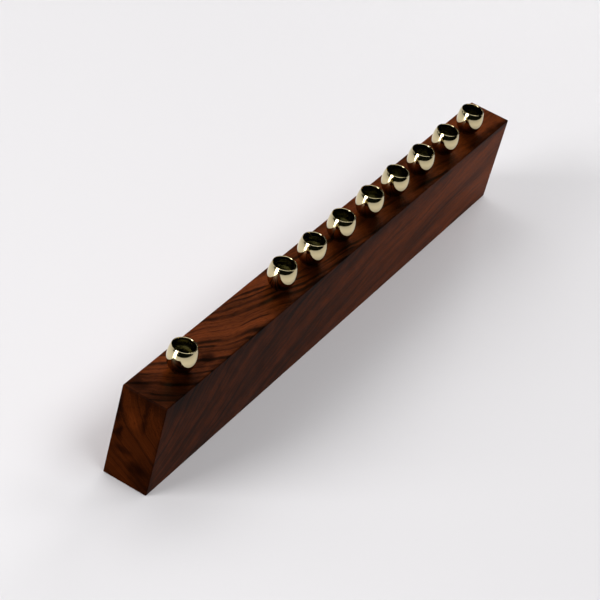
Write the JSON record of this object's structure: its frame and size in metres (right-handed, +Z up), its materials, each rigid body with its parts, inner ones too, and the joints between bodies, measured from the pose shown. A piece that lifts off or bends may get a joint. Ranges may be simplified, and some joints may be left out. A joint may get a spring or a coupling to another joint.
{
  "type": "menorah",
  "caption": "Long upright hardwood block with a row of small polished metal candle cups along its top, one set apart from the rest.",
  "frame": {"origin": "middle of the block's underside", "axes": "+X along the block, from the shamash's end to the last night candle's end; +Y across the block; +Z up, out of the cups' mouths"},
  "size_m": [0.348, 0.0234, 0.0646],
  "materials": {
    "walnut": "dark streaky walnut, rubbed oil, satin",
    "cup_metal": "pale gold nickelled brass, mirror polished",
    "screw_steel": "zinc plated, bright"
  },
  "bodies": {
    "root": {"walnut_block": "walnut", "shamash_cup": "cup_metal", "candle_1_cup": "cup_metal", "candle_2_cup": "cup_metal", "candle_3_cup": "cup_metal", "candle_4_cup": "cup_metal", "candle_5_cup": "cup_metal", "candle_6_cup": "cup_metal", "candle_7_cup": "cup_metal", "candle_8_cup": "cup_metal", "shamash_screw": "screw_steel", "candle_1_screw": "screw_steel", "candle_2_screw": "screw_steel", "candle_3_screw": "screw_steel", "candle_4_screw": "screw_steel", "candle_5_screw": "screw_steel", "candle_6_screw": "screw_steel", "candle_7_screw": "screw_steel", "candle_8_screw": "screw_steel"}
  },
  "joints": []
}
